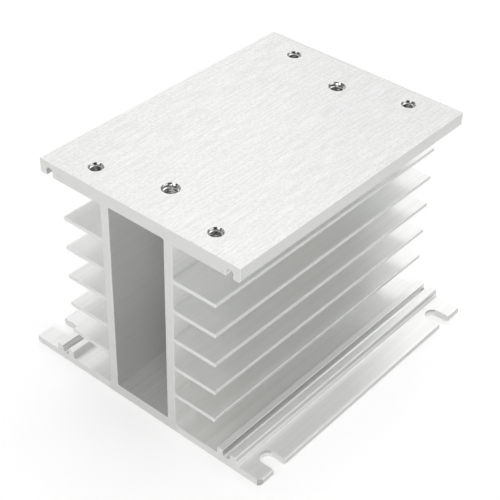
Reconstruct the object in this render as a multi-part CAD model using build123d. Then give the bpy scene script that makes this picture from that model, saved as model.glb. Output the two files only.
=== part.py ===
from build123d import *
import math
import os

# A solid state relay heat sink: one length of extruded aluminium, seen from its end as
# a mounting plate on top, a hollow stem with five fins on each side, and a wide foot.
# X is across the section, Y along the extrusion, Z up. The origin is the middle of the
# foot's underside. All sizes are in millimetres.

os.makedirs("parts", exist_ok=True)

# Length of the piece, the broken edges of its sawn ends, and how close a corner of the
# section must be to a named point to count as that corner
LENGTH = 110.0
END_CHAMFER = 0.08
CLOSE = 0.01

# Screw ports: round grooves along all four corners that take the screws of an 80 mm fan
PORT_SPACING = 72.0
PORT_RADIUS = 1.5
PORT_MOUTH_WIDTH = 2.6
PORT_MOUTH_BREAK = 0.25

# Mounting plate
PLATE_THICKNESS = 5.0
PLATE_OVER_PORT = 2.0
PLATE_OVER_HOLLOW = 4.5
LIP_THICKNESS = 2.5
LIP_CORNER_RADIUS = 0.8
PLATE_CORNER_RADIUS = 0.2

# Hollow stem
HOLLOW_WIDTH = 22.4
HOLLOW_CORNER_RADIUS = 0.5
WEB_THICKNESS = 3.3
ROOT_RADIUS = 0.6

# Fins
FIN_COUNT = 5
FIN_LENGTH = 16.75
FIN_THICKNESS = 1.45
FIN_TIP_RADIUS = 0.4
FIN_TO_PLATE = 13.2

# Foot: a floor between the ribs, two ribs around each lower port, and a thinner flange
FLOOR_THICKNESS = 3.0
FLOOR_IN_HOLLOW = 4.0
RIB_HEIGHT = 2.6
INNER_RIB_WALL = 2.3
RIB_CORNER_RADIUS = 0.3
OUTER_RIB_WALL = 2.35
OUTER_RIB_RADIUS = 0.5
OUTER_RIB_DRAFT = 0.6
RIB_FOOT_RADIUS = 0.4
FLANGE_WIDTH = 9.55
FLANGE_THICKNESS = 2.6
FLANGE_TOP_RADIUS = 0.5
FLANGE_EDGE_FLAT = 1.1

# The foot's front right corner is knocked off by this much
WORN_CORNER = 1.3

# Open slots for the panel screws
SLOT_WIDTH = 5.8
SLOT_TO_RIB = 1.95
SLOT_FROM_END = 9.3

# Tapped holes in the plate, bored to the outside of their threads
RELAY_SPACING_X = 48.0
RELAY_SPACING_Y = 94.0
RELAY_HOLE_RADIUS = 2.0
MODULE_SPACING_Y = 80.0
MODULE_HOLE_RADIUS = 2.5
HOLE_CHAMFER = 0.45

# Heights that follow from the sizes above
lower_port_z = FLOOR_THICKNESS + PORT_RADIUS
upper_port_z = lower_port_z + PORT_SPACING
plate_top = upper_port_z + PORT_RADIUS + PLATE_OVER_PORT
plate_underside = plate_top - PLATE_THICKNESS
rib_top = FLOOR_THICKNESS + RIB_HEIGHT

# Half widths that follow from the sizes above
port_x = PORT_SPACING / 2
mouth_half = PORT_MOUTH_WIDTH / 2
plate_edge = port_x + PORT_RADIUS + LIP_THICKNESS
stem_edge = HOLLOW_WIDTH / 2 + WEB_THICKNESS
fin_tip = stem_edge + FIN_LENGTH
inner_rib_face = port_x - PORT_RADIUS - INNER_RIB_WALL
outer_rib_top = port_x + PORT_RADIUS + OUTER_RIB_WALL
outer_rib_foot = outer_rib_top + OUTER_RIB_DRAFT
foot_edge = outer_rib_foot + FLANGE_WIDTH
flange_bottom_radius = FLANGE_THICKNESS - FLANGE_TOP_RADIUS - FLANGE_EDGE_FLAT

# Fins stand at even steps between the outermost two
lowest_fin_z = FLOOR_THICKNESS + FIN_TO_PLATE
highest_fin_z = plate_underside - FIN_TO_PLATE
fin_step = (highest_fin_z - lowest_fin_z) / (FIN_COUNT - 1)


def block(x_low, x_high, z_low, z_high):
    """A rectangle of the section between the given limits."""
    centre = ((x_low + x_high) / 2, (z_low + z_high) / 2)
    return Pos(*centre) * Rectangle(x_high - x_low, z_high - z_low)


def round_corners(section, points, radius):
    """Rounds the corners of the section that lie at the given points and their mirror images."""
    corners = [
        corner
        for corner in section.vertices()
        if any(math.hypot(abs(corner.X) - x, corner.Y - z) < CLOSE for x, z in points)
    ]
    return fillet(corners, radius)


# The section is drawn flat, with its height along the sketch's Y
section = block(-plate_edge, plate_edge, plate_underside, plate_top)
section += block(-stem_edge, stem_edge, 0, plate_top)

fin_heights = [lowest_fin_z + fin_step * number for number in range(FIN_COUNT)]
for height in fin_heights:
    section += block(-fin_tip, fin_tip, height - FIN_THICKNESS / 2, height + FIN_THICKNESS / 2)

# The foot's outline: flange, sloping outer rib, inner rib and the floor between them
foot_half = [
    (foot_edge, 0),
    (foot_edge, FLANGE_THICKNESS),
    (outer_rib_foot, FLANGE_THICKNESS),
    (outer_rib_top, rib_top),
    (inner_rib_face, rib_top),
    (inner_rib_face, FLOOR_THICKNESS),
]
other_half = [(-x, z) for x, z in reversed(foot_half)]
section += Polygon(*foot_half, *other_half, align=None)

# The hollow, and each screw port with the mouth that opens it to the underside or the rib's top
hollow = block(-HOLLOW_WIDTH / 2, HOLLOW_WIDTH / 2, FLOOR_IN_HOLLOW, plate_top - PLATE_OVER_HOLLOW)
section -= hollow
for x in (-port_x, port_x):
    for port_z, open_z in ((lower_port_z, rib_top), (upper_port_z, plate_underside)):
        section -= Pos(x, port_z) * Circle(PORT_RADIUS)
        section -= block(x - mouth_half, x + mouth_half, min(port_z, open_z), max(port_z, open_z))

# Corners of the section, rounded as the die leaves them
root_corners = [(stem_edge, plate_underside), (stem_edge, FLOOR_THICKNESS)]
tip_corners = []
for height in fin_heights:
    for edge in (height - FIN_THICKNESS / 2, height + FIN_THICKNESS / 2):
        root_corners.append((stem_edge, edge))
        tip_corners.append((fin_tip, edge))
mouth_corners = [
    (port_x + side * mouth_half, z) for side in (-1, 1) for z in (plate_underside, rib_top)
]
hollow_corners = [
    (HOLLOW_WIDTH / 2, FLOOR_IN_HOLLOW),
    (HOLLOW_WIDTH / 2, plate_top - PLATE_OVER_HOLLOW),
]

section = round_corners(section, root_corners, ROOT_RADIUS)
section = round_corners(section, tip_corners, FIN_TIP_RADIUS)
section = round_corners(section, mouth_corners, PORT_MOUTH_BREAK)
section = round_corners(section, hollow_corners, HOLLOW_CORNER_RADIUS)
section = round_corners(section, [(plate_edge, plate_underside)], LIP_CORNER_RADIUS)
section = round_corners(section, [(plate_edge, plate_top)], PLATE_CORNER_RADIUS)
section = round_corners(section, [(inner_rib_face, rib_top)], RIB_CORNER_RADIUS)
section = round_corners(section, [(outer_rib_top, rib_top)], OUTER_RIB_RADIUS)
section = round_corners(
    section,
    [(inner_rib_face, FLOOR_THICKNESS), (outer_rib_foot, FLANGE_THICKNESS)],
    RIB_FOOT_RADIUS,
)
section = round_corners(section, [(foot_edge, FLANGE_THICKNESS)], FLANGE_TOP_RADIUS)
section = round_corners(section, [(foot_edge, 0)], flange_bottom_radius)

# The extrusion, cut square and lightly broken at both ends
upright = Plane.XZ * section
heat_sink = extrude(upright, LENGTH / 2, both=True)
end_edges = [
    edge
    for face in (heat_sink.faces().sort_by(Axis.Y)[0], heat_sink.faces().sort_by(Axis.Y)[-1])
    for edge in face.edges()
]
heat_sink = chamfer(end_edges, END_CHAMFER)

# Open slots, cut in from both long edges of the foot near its four corners
slot_x = outer_rib_foot + SLOT_TO_RIB + SLOT_WIDTH / 2
slot_y = LENGTH / 2 - SLOT_FROM_END
slot_reach = foot_edge + SLOT_WIDTH - slot_x
slot_cut = Cylinder(SLOT_WIDTH / 2, 3 * FLANGE_THICKNESS)
slot_cut += Pos(slot_reach / 2, 0, 0) * Box(slot_reach, SLOT_WIDTH, 3 * FLANGE_THICKNESS)
for y in (-slot_y, slot_y):
    heat_sink -= Pos(slot_x, y, 0) * slot_cut
    heat_sink -= Pos(-slot_x, y, 0) * Rot(0, 0, 180) * slot_cut

# The worn corner, cut off at 45 degrees
wear = Box(4 * WORN_CORNER, WORN_CORNER * math.sqrt(2), 3 * FLANGE_THICKNESS)
heat_sink -= Pos(foot_edge, -LENGTH / 2, 0) * Rot(0, 0, 45) * wear


def tapped_hole(radius):
    """A bore right through the plate with a chamfered mouth, its top at the origin."""
    depth = 2 * PLATE_THICKNESS
    bore = Pos(0, 0, -depth / 2) * Cylinder(radius, depth)
    mouth = Pos(0, 0, -HOLE_CHAMFER / 2) * Cone(radius, radius + HOLE_CHAMFER, HOLE_CHAMFER)
    return bore + mouth


for x in (-RELAY_SPACING_X / 2, RELAY_SPACING_X / 2):
    for y in (-RELAY_SPACING_Y / 2, RELAY_SPACING_Y / 2):
        heat_sink -= Pos(x, y, plate_top) * tapped_hole(RELAY_HOLE_RADIUS)
for y in (-MODULE_SPACING_Y / 2, MODULE_SPACING_Y / 2):
    heat_sink -= Pos(0, y, plate_top) * tapped_hole(MODULE_HOLE_RADIUS)

export_step(heat_sink, "parts/heat_sink.step")
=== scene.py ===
import math
from types import SimpleNamespace

import bmesh
import bpy
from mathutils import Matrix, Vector


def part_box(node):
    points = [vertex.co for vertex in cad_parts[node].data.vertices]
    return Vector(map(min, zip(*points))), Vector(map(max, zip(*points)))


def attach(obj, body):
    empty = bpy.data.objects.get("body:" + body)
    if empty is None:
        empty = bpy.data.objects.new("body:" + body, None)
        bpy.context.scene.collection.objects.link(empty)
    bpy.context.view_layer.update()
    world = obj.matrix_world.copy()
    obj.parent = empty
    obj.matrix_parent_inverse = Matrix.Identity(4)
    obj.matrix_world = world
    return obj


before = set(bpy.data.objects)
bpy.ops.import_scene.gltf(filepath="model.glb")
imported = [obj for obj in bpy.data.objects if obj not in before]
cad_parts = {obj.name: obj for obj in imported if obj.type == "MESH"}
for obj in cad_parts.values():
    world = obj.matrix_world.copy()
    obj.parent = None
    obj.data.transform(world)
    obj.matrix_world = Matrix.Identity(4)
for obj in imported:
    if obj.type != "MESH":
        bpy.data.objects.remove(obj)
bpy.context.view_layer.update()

MM = 0.001

# The frame's height and half sizes, which the looks are tied to
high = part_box("heat_sink")[1]
plate_top = high.z
half_foot = high.x
half_length = high.y

# The section: the plate, the stem and its hollow, the fins' tips, and a height just above the
# foot's ribs
HALF_PLATE = 40.0 * MM
PLATE_THICKNESS = 5.0 * MM
PLATE_OVER_HOLLOW = 4.5 * MM
HALF_STEM = 14.5 * MM
HALF_HOLLOW = 11.2 * MM
HOLLOW_FLOOR = 4.0 * MM
FIN_TIP = 31.25 * MM
ABOVE_RIBS = 6.0 * MM

# The screw ports, the worn corner, and a distance from the foot's edge that its slots stay within
PORT_X = 36.0 * MM
PORT_RADIUS = 1.5 * MM
LOWER_PORT_Z = 4.5 * MM
UPPER_PORT_Z = 76.5 * MM
WORN_CORNER = 1.3 * MM
SLOT_REACH = 7.7 * MM

# Tapped holes of the plate: place, outside radius and pitch of the thread, and the chamfer at
# the mouth. The two module holes open into the hollow
RELAY_X = 24.0 * MM
RELAY_Y = 47.0 * MM
RELAY_RADIUS = 2.0 * MM
RELAY_PITCH = 0.7 * MM
MODULE_Y = 40.0 * MM
MODULE_RADIUS = 2.5 * MM
MODULE_PITCH = 0.8 * MM
MOUTH_CHAMFER = 0.45 * MM

# A thread's ridge: its height, and its width at the wall and at the crest, as shares of the
# pitch, its steps per turn, how it runs out at both ends, and how deep it sits in the wall
RIDGE_HEIGHT = 0.54
RIDGE_FOOT = 0.86
RIDGE_CREST = 0.25
STEPS_PER_TURN = 40
RUNOUT_STEPS = 14
RUNOUT_HEIGHT = 0.05
RIDGE_SINK = 0.04 * MM

# Where the saw's centre is: this far left of the middle and below the foot
SAW_X = 110.0 * MM
SAW_Z = 160.0 * MM

# How far a face is turned one way before it starts to count as facing it, and fully does,
# and how wide the change from one finish to the next is
FACING = (0.9, 0.97)
CHANGE = 0.1 * MM

# Lightness of the darkest and the lightest grain, how strong the grain of each finish is, and
# how strong the clouds and the warmer patches are
DARK_GRAIN = 0.84
LIGHT_GRAIN = 0.99
SKIN_CONTRAST = 0.9
FOOT_CONTRAST = 1.7
PLATE_CONTRAST = 4.1
END_CONTRAST = 0.7
CLOUD_CONTRAST = 0.15
WARM_COLOUR = (1.0, 0.85, 0.6, 1.0)
WARM_SHARE = 0.035

# Tones: what the metal's colour is scaled by in each place. Several are painted shade: the outer edges, the
# plate's right and far part, the hollow, the ports, the slots and the worn corner. The hollow's go from low
# to high, and the slots' from the bottom of the wall to its top
SKIN_TONE = 1.03
FOOT_TONE = 1.035
STEM_END_TONE = 0.87
THIN_END_TONE = 0.95
OUTER_EDGE_SHADE_TONE = 0.74
PLATE_SHADE_TONE = 0.92
FAR_EDGE_TONE = 0.82
HOLLOW_SHADE_TONES = (0.88, 1.04)
PORT_SHADE_TONE = 0.92
SLOT_SHADE_TONES = (1.0, 0.6)
WORN_CORNER_SHADE_TONE = 0.6

# Lightness of the metal deep in a hole and near the mouth, on the bore and on the thread: the holes are
# painted darker with depth, as shade
DEEP_HOLE_SHADE = 0.35
BORE_MOUTH = 0.55
THREAD_MOUTH = 0.80

# How rough each finish is, how much clouds and grain change that, and the least that the skin
# may have
SKIN_ROUGHNESS = 0.30
PLATE_ROUGHNESS = 0.41
END_ROUGHNESS = 0.45
HOLE_ROUGHNESS = 0.14
UNEVENNESS = 0.10
SMOOTHEST_SKIN = 0.285

# How metallic the bare skin is in each place, and how far its grain stretches reflections
SKIN_METAL = 0.62
FOOT_METAL = 0.5
HOLLOW_METAL = 0.45
PORT_METAL = 0.8
STRETCH = 0.75

# How deep the relief of the plate and the ends is, and that of the cut threads
RELIEF_DEPTH = 0.006 * MM
CHATTER_DEPTH = 0.003 * MM

# Softboxes: azimuth from +X towards +Y and height in degrees, width and height in metres,
# and how bright each looks beside a white of 1. Nothing shines from just above the camera
SOFTBOX_DISTANCE = 1.5
SOFTBOXES = {
    "right": (14, 38, 1.0, 0.9, 1.26),
    "right_low": (10, 14, 1.0, 0.5, 0.60),
    "right_back": (50, 38, 0.7, 0.6, 0.80),
    "back_right": (85, 52, 0.8, 0.7, 0.70),
    "back": (107, 40, 1.4, 0.65, 0.41),
    "back_left": (128, 62, 1.1, 0.7, 0.57),
    "left": (173, 15, 1.6, 0.65, 0.53),
    "left_front": (225, 20, 0.8, 0.8, 0.94),
    "front_left": (268, 46, 0.77, 0.9, 1.85),
    "front": (312, 27, 0.8, 0.5, 3.97),
}

# The room's light is strongest towards this azimuth and height
ROOM_BRIGHTEST = (129, 45)
ROOM_LIGHT = 0.80

# The floor: its half width, how far it is under the foot, its paint, its glow, and how far out
# it starts to be plain white
FLOOR_HALF = 3.0
FLOOR_GAP = 0.05 * MM
FLOOR_PAINT = 0.8
FLOOR_GLOW = 0.43
FLOOR_WHITE_FROM = 0.3

# The photograph's viewpoint, solved from the object's straight edges. Angles are in degrees
CAMERA_PLACE = (0.20785, -0.25432, 0.28831)
CAMERA_ANGLES = (51.494, -1.898, 39.937)
CAMERA_LENS = 89.207
CAMERA_SENSOR = 36
CAMERA_SHIFT = (-0.03777, 0.03393)


class Nodes:
    """The node tree of a material or the world, with short calls for the nodes that the looks need."""

    def __init__(self, owner):
        owner.use_nodes = True
        self.tree = owner.node_tree
        self.tree.nodes.clear()

    def add(self, kind, **settings):
        node = self.tree.nodes.new("ShaderNode" + kind)
        for key, value in settings.items():
            setattr(node, key, value)
        return node

    def feed(self, socket, value):
        """Joins a node's output to the socket, or sets the socket to a plain value."""
        if isinstance(value, bpy.types.NodeSocket):
            self.tree.links.new(value, socket)
        else:
            socket.default_value = value

    def feed_all(self, sockets, values):
        for socket, value in zip(sockets, values):
            self.feed(socket, value)

    def math(self, operation, *values):
        node = self.add("Math", operation=operation)
        self.feed_all(node.inputs, values)
        return node.outputs[0]

    def product(self, *values):
        result = values[0]
        for value in values[1:]:
            result = self.math("MULTIPLY", result, value)
        return result

    def total(self, *values):
        result = values[0]
        for value in values[1:]:
            result = self.math("ADD", result, value)
        return result

    def less(self, value, amount):
        return self.math("SUBTRACT", value, amount)

    def size(self, value):
        return self.math("ABSOLUTE", value)

    def distance(self, a, b):
        return self.math("SQRT", self.total(self.product(a, a), self.product(b, b)))

    def fade(self, value, start, end, first=0.0, last=1.0):
        """Goes smoothly from first to last as value goes from start to end."""
        node = self.add("MapRange", interpolation_type="SMOOTHSTEP")
        self.feed_all(node.inputs, (value, start, end, first, last))
        return node.outputs[0]

    def parts(self, vector):
        node = self.add("SeparateXYZ")
        self.feed(node.inputs[0], vector)
        return node.outputs

    def joined(self, x, y, z):
        node = self.add("CombineXYZ")
        self.feed_all(node.inputs, (x, y, z))
        return node.outputs[0]

    def scaled(self, vector, amount):
        node = self.add("VectorMath", operation="SCALE")
        self.feed(node.inputs[0], vector)
        self.feed(node.inputs["Scale"], amount)
        return node.outputs[0]

    def noise(self, place, waves, detail=2.0, roughness=0.5):
        """Noise from about 0 to 1, with the given waves per metre along X, Y and Z."""
        stretched = self.add("VectorMath", operation="MULTIPLY")
        self.feed_all(stretched.inputs, (place, waves))
        node = self.add("TexNoise")
        self.feed(node.inputs["Vector"], stretched.outputs[0])
        self.feed(node.inputs["Scale"], 1.0)
        self.feed(node.inputs["Detail"], detail)
        self.feed(node.inputs["Roughness"], roughness)
        return node.outputs[0]

    def mix(self, factor, a, b):
        """A number between a and b."""
        node = self.add("Mix")
        self.feed_all((node.inputs[0], node.inputs[2], node.inputs[3]), (factor, a, b))
        return node.outputs[0]

    def blend(self, factor, a, b):
        """A colour between a and b."""
        node = self.add("Mix", data_type="RGBA")
        self.feed_all((node.inputs[0], node.inputs[6], node.inputs[7]), (factor, a, b))
        return node.outputs[2]

    def bump(self, height, depth):
        node = self.add("Bump")
        self.feed(node.inputs["Strength"], 1.0)
        self.feed(node.inputs["Distance"], depth)
        self.feed(node.inputs["Height"], height)
        return node.outputs[0]

    def finish(self, shader, output="OutputMaterial"):
        """Joins the shader to the output of the material or the world."""
        self.feed(self.add(output).inputs[0], shader.outputs[0])


def grey(value):
    """A nearly neutral colour with a touch of green, as bare aluminium has."""
    return (value, value + 0.006, value - 0.004, 1.0)


def brushed_grain(n, place):
    """The plate's brushing: short streaks along Y, broken up by a shorter grit, and longer scratches."""
    streaks = n.noise(place, (1500, 95, 0), detail=2.0, roughness=0.6)
    grit = n.noise(place, (1600, 800, 0), detail=1.0)
    scratches = n.noise(place, (1100, 30, 0), detail=3.0, roughness=0.7)
    return n.total(n.product(streaks, 0.50), n.product(grit, 0.38), n.product(scratches, 0.12))


def die_lines(n, place):
    """Lines the die leaves along the whole length, and some broad bands."""
    drawn = n.noise(place, (900, 3, 900), detail=1.0)
    bands = n.noise(place, (200, 2, 200), detail=1.0)
    return n.total(n.product(drawn, 0.6), n.product(bands, 0.4))


def saw_marks(n, blade_x, blade_z, z):
    """Shallow arcs around the blade's centre, broken up a little along their length."""
    reach = n.distance(blade_x, blade_z)
    return n.noise(n.joined(reach, 0.0, n.product(z, 0.05)), (2600, 0, 800), detail=3.0, roughness=0.6)


def nearest_hole(n, x, y, side_x):
    """How far a point is past the mouth of the nearest tapped hole, and the way round that hole."""
    is_relay = n.math("GREATER_THAN", side_x, RELAY_X / 2)
    from_x = n.less(x, n.product(n.math("SIGN", x), is_relay, RELAY_X))
    from_y = n.less(y, n.product(n.math("SIGN", y), n.mix(is_relay, MODULE_Y, RELAY_Y)))
    mouth = n.mix(is_relay, MODULE_RADIUS + MOUTH_CHAMFER, RELAY_RADIUS + MOUTH_CHAMFER)
    past_mouth = n.less(n.distance(from_x, from_y), mouth)
    return past_mouth, n.joined(n.product(from_y, -1.0), from_x, 0.0)


def port_distance(n, side_x, z):
    """How far a point is from the axis of the nearest screw port."""
    port_z = n.mix(n.math("GREATER_THAN", z, plate_top / 2), LOWER_PORT_Z, UPPER_PORT_Z)
    return n.distance(n.less(side_x, PORT_X), n.less(z, port_z))


def outer_edges(n, side_x, normal_x):
    """The narrow upright faces at the edges of the fins, the plate and the foot, which are painted darker as
    shade.
    """
    at_edge = 0.0
    for edge in (FIN_TIP, HALF_PLATE, half_foot):
        at_edge = n.math("MAXIMUM", at_edge, n.fade(n.size(n.less(side_x, edge)), 2 * CHANGE, CHANGE))
    return n.product(at_edge, n.fade(n.size(normal_x), 0.8, 0.95))


def regions(n, place, normal):
    """Where each finish is, as numbers from 0 to 1, and the way round the nearest hole."""
    x, y, z = n.parts(place)
    normal_x, normal_y, normal_z = n.parts(normal)
    side_x = n.size(x)
    plate_underside = plate_top - PLATE_THICKNESS
    hollow_top = plate_top - PLATE_OVER_HOLLOW
    at = SimpleNamespace(height=z)

    # The plate's top, its far rim, and its right and far part, which is painted darker as shade
    at.top = n.fade(z, plate_top - 0.12 * MM, plate_top - 0.04 * MM)
    at.plate = n.product(at.top, n.fade(normal_z, *FACING))
    at.far_rim = n.product(at.plate, n.fade(y, half_length - 0.9 * MM, half_length - 0.2 * MM))
    at.dull_part = n.fade(n.total(x, n.product(y, 0.6)), -30 * MM, 50 * MM)

    # The sawn ends, and what lies outside the plate and the stem: the fins and most of the foot
    at.end = n.fade(n.size(normal_y), *FACING)
    off_end = n.less(1.0, at.end)
    in_plate = n.fade(z, plate_underside, plate_underside + CHANGE)
    at.thin = n.product(n.less(1.0, in_plate), n.fade(side_x, HALF_STEM, HALF_STEM + 1.5 * MM))

    # The foot, the outer edges, the walls of the slots, and the worn corner; the edges and slot walls get
    # painted shade, and the worn corner, a real facet, a painted dark reflection
    at.foot = n.fade(z, ABOVE_RIBS + 0.5 * MM, ABOVE_RIBS)
    at.outer_edge = outer_edges(n, side_x, normal_x)
    slots_from = half_foot - SLOT_REACH
    at.slot = n.product(
        n.fade(side_x, slots_from, slots_from + CHANGE),
        n.fade(n.size(normal_z), 0.3, 0.1),
        off_end,
        n.less(1.0, at.outer_edge),
    )
    worn_from = half_foot + half_length - WORN_CORNER
    at.wear = n.fade(n.less(x, y), worn_from - 0.1 * MM, worn_from - 0.02 * MM)

    # The walls of the hollow, and the screw ports
    at.hollow = n.product(
        n.fade(z, HOLLOW_FLOOR - CHANGE, HOLLOW_FLOOR),
        n.fade(z, hollow_top + CHANGE, hollow_top),
        off_end,
        n.fade(side_x, HALF_HOLLOW + 2 * CHANGE, HALF_HOLLOW + CHANGE),
    )
    from_port = port_distance(n, side_x, z)
    at.port = n.product(off_end, n.fade(from_port, PORT_RADIUS + 3 * CHANGE, PORT_RADIUS + 2 * CHANGE))

    # The bores and mouths of the tapped holes
    past_mouth, at.around_hole = nearest_hole(n, x, y, side_x)
    within_mouth = n.fade(past_mouth, 0.08 * MM, 0.04 * MM)
    at.hole = n.product(within_mouth, in_plate, n.fade(normal_z, 0.95, 0.85))
    return at


def metal_tone(n, at):
    """What the metal's colour is scaled by, from finish to finish, with painted shade on the outer edges,
    the plate's right and far part, the hollow, the ports, the slots and the worn corner.
    """
    end_tone = n.mix(at.thin, STEM_END_TONE, THIN_END_TONE)
    # Painted shade: the upright faces at the outer edges are darkened
    side_tone = n.mix(at.outer_edge, n.mix(at.end, SKIN_TONE, end_tone), OUTER_EDGE_SHADE_TONE)
    # Painted shade: the plate's top is darker towards its right and far end
    tone = n.mix(at.plate, side_tone, n.mix(at.dull_part, 1.0, PLATE_SHADE_TONE))
    tone = n.product(tone, n.mix(at.foot, 1.0, FOOT_TONE))
    places = (
        # Painted shade: the hollow's walls are darker towards the bottom
        (at.hollow, n.fade(at.height, 8 * MM, 50 * MM, *HOLLOW_SHADE_TONES)),
        # Painted shade: the screw ports' grooves are darkened as recesses
        (at.port, PORT_SHADE_TONE),
        # Painted shade: the slots' walls are darker towards their top
        (at.slot, n.fade(at.height, 1.0 * MM, 2.2 * MM, *SLOT_SHADE_TONES)),
        # The worn corner is a real facet; its dark tone is a painted dark reflection
        (at.wear, WORN_CORNER_SHADE_TONE),
        (at.far_rim, FAR_EDGE_TONE),
    )
    for where, its_tone in places:
        tone = n.mix(where, tone, its_tone)
    return tone


def metal_colour(n, at, place, grain, clouds):
    """The skin's colour with its grain, clouds, warmer patches and painted shade, and the cut metal in the
    holes, painted darker with depth as shade.
    """
    side_contrast = n.mix(at.foot, SKIN_CONTRAST, FOOT_CONTRAST)
    contrast = n.mix(at.end, n.mix(at.plate, side_contrast, PLATE_CONTRAST), END_CONTRAST)
    streaked = n.product(n.less(grain, 0.5), contrast)
    clouded = n.product(n.less(clouds, 0.5), CLOUD_CONTRAST)
    level = n.total(0.5, streaked, clouded)
    colour = n.blend(n.fade(level, 0.0, 1.0), grey(DARK_GRAIN), grey(LIGHT_GRAIN))
    warmer = n.noise(place, (22, 14, 22), detail=2.0)
    colour = n.blend(n.fade(warmer, 0.35, 0.65), colour, n.blend(WARM_SHARE, colour, WARM_COLOUR))
    colour = n.scaled(colour, metal_tone(n, at))
    # Painted shade: the bore is darker the deeper it goes
    bore_shade_by_depth = n.fade(at.height, plate_top - 4.0 * MM, plate_top - 0.2 * MM)
    return n.blend(at.hole, colour, n.blend(bore_shade_by_depth, grey(DEEP_HOLE_SHADE), grey(BORE_MOUTH)))


def metal_roughness(n, at, grain, clouds):
    """How rough the metal is, a little uneven with its clouds and grain, and smooth in the holes."""
    even = n.mix(at.end, n.mix(at.top, SKIN_ROUGHNESS, PLATE_ROUGHNESS), END_ROUGHNESS)
    by_clouds = n.product(n.less(clouds, 0.5), UNEVENNESS)
    by_grain = n.product(n.less(grain, 0.5), UNEVENNESS)
    skin = n.math("MAXIMUM", n.total(even, n.total(by_clouds, by_grain)), SMOOTHEST_SKIN)
    return n.mix(at.hole, skin, HOLE_ROUGHNESS)


def aluminium():
    """Bare extruded aluminium: a brushed plate, sawn ends, and die lines along every side."""
    material = bpy.data.materials.new("aluminium")
    n = Nodes(material)
    coordinates = n.add("TexCoord").outputs
    place = coordinates["Object"]
    at = regions(n, place, coordinates["Normal"])

    # The grain of each finish, and the clouds that handling leaves
    x, y, z = n.parts(place)
    blade_x = n.math("ADD", x, SAW_X)
    blade_z = n.math("ADD", z, SAW_Z)
    side_grain = n.mix(at.plate, die_lines(n, place), brushed_grain(n, place))
    grain = n.mix(at.end, side_grain, saw_marks(n, blade_x, blade_z, z))
    clouds = n.noise(place, (60, 32, 60), detail=4.0, roughness=0.55)

    # The grain runs along Y, round the saw's centre on the ends, and round the holes
    along_cut = n.joined(n.product(blade_z, -1.0), 0.0, blade_x)
    along = n.blend(at.end, (0.0, 1.0, 0.0, 1.0), along_cut)

    # The skin isn't fully metallic, and only the plate and the ends have a relief
    skin_metal = n.mix(at.hollow, n.mix(at.foot, SKIN_METAL, FOOT_METAL), HOLLOW_METAL)
    relief = n.product(n.less(grain, 0.5), n.math("MAXIMUM", at.plate, at.end))

    shader = n.add("BsdfPrincipled")
    shader.inputs["Anisotropic"].default_value = STRETCH
    shader.inputs["Anisotropic Rotation"].default_value = 0.25
    n.feed(shader.inputs["Metallic"], n.mix(at.hole, n.mix(at.port, skin_metal, PORT_METAL), 1.0))
    n.feed(shader.inputs["Tangent"], n.blend(at.hole, along, at.around_hole))
    n.feed(shader.inputs["Base Color"], metal_colour(n, at, place, grain, clouds))
    n.feed(shader.inputs["Roughness"], metal_roughness(n, at, grain, clouds))
    n.feed(shader.inputs["Normal"], n.bump(relief, RELIEF_DEPTH))
    n.finish(shader)
    return material


def cut_thread():
    """Freshly cut metal of a tapped hole: smoother than the skin, and painted darker where it is deep, as
    shade.
    """
    material = bpy.data.materials.new("cut_thread")
    n = Nodes(material)
    place = n.add("TexCoord").outputs["Object"]
    z = n.parts(place)[2]
    chatter = n.noise(place, (3000, 3000, 9000), detail=2.0)
    # Painted shade: the thread is darker the deeper it goes
    depth = n.fade(z, plate_top - 4.5 * MM, plate_top - 0.3 * MM)
    shader = n.add("BsdfPrincipled")
    shader.inputs["Metallic"].default_value = 1.0
    n.feed(shader.inputs["Base Color"], n.blend(depth, grey(DEEP_HOLE_SHADE), grey(THREAD_MOUTH)))
    n.feed(shader.inputs["Roughness"], n.fade(chatter, 0.3, 0.7, 0.12, 0.2))
    n.feed(shader.inputs["Normal"], n.bump(chatter, CHATTER_DEPTH))
    n.finish(shader)
    return material


def ridge_rings(x, y, radius, pitch, bottom):
    """Outlines of a thread's ridge, step by step up the hole, with its outer side in the bore's wall."""
    start = bottom + pitch * RIDGE_FOOT / 2
    end = plate_top - MOUTH_CHAMFER - pitch * RIDGE_FOOT / 4
    steps = int((end - start) / pitch * STEPS_PER_TURN)
    wall = radius + RIDGE_SINK
    rings = []
    for step in range(steps + 1):
        turn = 2 * math.pi * step / STEPS_PER_TURN
        centre = start + pitch * step / STEPS_PER_TURN
        to_end = min(step, steps - step)
        crest = radius - pitch * RIDGE_HEIGHT * min(1.0, to_end / RUNOUT_STEPS + RUNOUT_HEIGHT)
        outline = (
            (wall, -pitch * RIDGE_FOOT / 2),
            (crest, -pitch * RIDGE_CREST / 2),
            (crest, pitch * RIDGE_CREST / 2),
            (wall, pitch * RIDGE_FOOT / 2),
        )
        across, along = math.cos(turn), math.sin(turn)
        rings.append([(x + r * across, y + r * along, centre + rise) for r, rise in outline])
    return rings


def thread(name, x, y, radius, pitch, bottom, material):
    """The helical ridge of a tapped hole, one closed band with sharp edges along its length."""
    shape = bmesh.new()
    rings = [[shape.verts.new(point) for point in ring] for ring in ridge_rings(x, y, radius, pitch, bottom)]
    for ring, following in zip(rings, rings[1:]):
        for corner in range(len(ring)):
            after = (corner + 1) % len(ring)
            shape.faces.new((ring[corner], ring[after], following[after], following[corner]))
            shape.edges.get((ring[corner], following[corner])).smooth = False
    shape.faces.new(list(reversed(rings[0])))
    shape.faces.new(rings[-1])
    bmesh.ops.recalc_face_normals(shape, faces=shape.faces)
    for face in shape.faces:
        face.smooth = True
    mesh = bpy.data.meshes.new(name)
    shape.to_mesh(mesh)
    shape.free()
    mesh.materials.append(material)
    piece = bpy.data.objects.new(name, mesh)
    bpy.context.scene.collection.objects.link(piece)
    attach(piece, "root")


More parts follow.
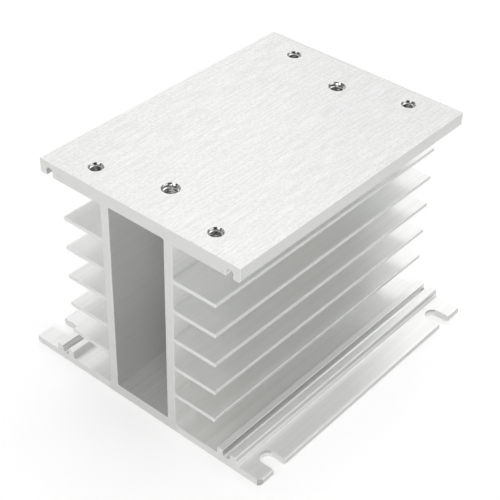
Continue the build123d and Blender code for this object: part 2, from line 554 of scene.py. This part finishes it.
def threads():
    """Threads of the four relay holes and the two module holes."""
    metal = cut_thread()
    relay = (RELAY_RADIUS, RELAY_PITCH, plate_top - PLATE_THICKNESS, metal)
    module = (MODULE_RADIUS, MODULE_PITCH, plate_top - PLATE_OVER_HOLLOW, metal)
    for end, y_sign in (("front", -1), ("back", 1)):
        for side, x_sign in (("left", -1), ("right", 1)):
            thread(f"relay_thread_{end}_{side}", x_sign * RELAY_X, y_sign * RELAY_Y, *relay)
        thread(f"module_thread_{end}", 0.0, y_sign * MODULE_Y, *module)


def floor_material():
    """A pale floor that looks white to the camera and in the metal, keeps the object's shadow, and
    is plain white to both further off, where the lamps don't reach."""
    material = bpy.data.materials.new("floor")
    n = Nodes(material)
    path = n.add("LightPath").outputs
    seen = path["Is Camera Ray"]
    for ray in ("Is Glossy Ray", "Is Transmission Ray"):
        seen = n.math("MAXIMUM", seen, path[ray])
    x, y, z = n.parts(n.add("TexCoord").outputs["Object"])
    far = n.product(seen, n.fade(n.distance(x, y), FLOOR_WHITE_FROM, 2 * FLOOR_WHITE_FROM))
    paint = n.add("BsdfDiffuse")
    paint.inputs["Color"].default_value = (FLOOR_PAINT, FLOOR_PAINT, FLOOR_PAINT, 1)
    glow = n.add("Emission")
    n.feed(glow.inputs["Strength"], n.total(n.product(seen, FLOOR_GLOW), far))
    both = n.add("AddShader")
    n.feed_all(both.inputs, (paint.outputs[0], glow.outputs[0]))
    n.finish(both)
    return material


def floor():
    """A large floor just under the foot."""
    half = FLOOR_HALF
    z = -FLOOR_GAP
    corners = [(-half, -half, z), (half, -half, z), (half, half, z), (-half, half, z)]
    mesh = bpy.data.meshes.new("floor")
    mesh.from_pydata(corners, [], [(0, 1, 2, 3)])
    mesh.materials.append(floor_material())
    sheet = bpy.data.objects.new("floor", mesh)
    bpy.context.scene.collection.objects.link(sheet)


def camera():
    """A camera at the photograph's viewpoint."""
    data = bpy.data.cameras.new("camera")
    data.sensor_width = CAMERA_SENSOR
    data.lens = CAMERA_LENS
    data.shift_x, data.shift_y = CAMERA_SHIFT
    data.clip_start = 0.01
    data.clip_end = 20
    view = bpy.data.objects.new("camera", data)
    view.location = CAMERA_PLACE
    view.rotation_euler = [math.radians(angle) for angle in CAMERA_ANGLES]
    bpy.context.scene.collection.objects.link(view)
    bpy.context.scene.camera = view


def direction(azimuth, height):
    """The way from the object to something at this azimuth and height, in degrees."""
    turn, tilt = math.radians(azimuth), math.radians(height)
    return Vector((math.cos(tilt) * math.cos(turn), math.cos(tilt) * math.sin(turn), math.sin(tilt)))


def softbox(name, azimuth, height, width, tall, brightness):
    """A large soft lamp that faces the object and that the camera doesn't see."""
    data = bpy.data.lights.new(name, "AREA")
    data.shape = "RECTANGLE"
    data.size = width
    data.size_y = tall
    data.energy = brightness * math.pi * width * tall
    lamp = bpy.data.objects.new(name, data)
    towards = direction(azimuth, height)
    lamp.location = towards * SOFTBOX_DISTANCE
    lamp.rotation_euler = towards.to_track_quat("Z", "Y").to_euler()
    lamp.visible_camera = False
    bpy.context.scene.collection.objects.link(lamp)


def surroundings():
    """A pale room, brightest high up behind the object, and white where the camera looks past the floor."""
    world = bpy.data.worlds.new("studio")
    bpy.context.scene.world = world
    n = Nodes(world)
    towards = n.add("VectorMath", operation="DOT_PRODUCT")
    n.feed_all(towards.inputs, (n.add("TexCoord").outputs["Generated"], direction(*ROOM_BRIGHTEST)))
    nearness = n.math("MAXIMUM", towards.outputs["Value"], 0.0)
    light = n.product(nearness, nearness, ROOM_LIGHT)
    seen = n.add("LightPath").outputs["Is Camera Ray"]
    background = n.add("Background")
    background.inputs["Color"].default_value = (1, 1, 1, 1)
    n.feed(background.inputs["Strength"], n.mix(seen, light, 1.0))
    n.finish(background, "OutputWorld")


bpy.context.scene.view_settings.view_transform = "Standard"
surroundings()
for box_name, placing in SOFTBOXES.items():
    softbox(box_name, *placing)
camera()
floor()

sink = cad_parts["heat_sink"]
sink.data.materials.clear()
sink.data.materials.append(aluminium())
threads()
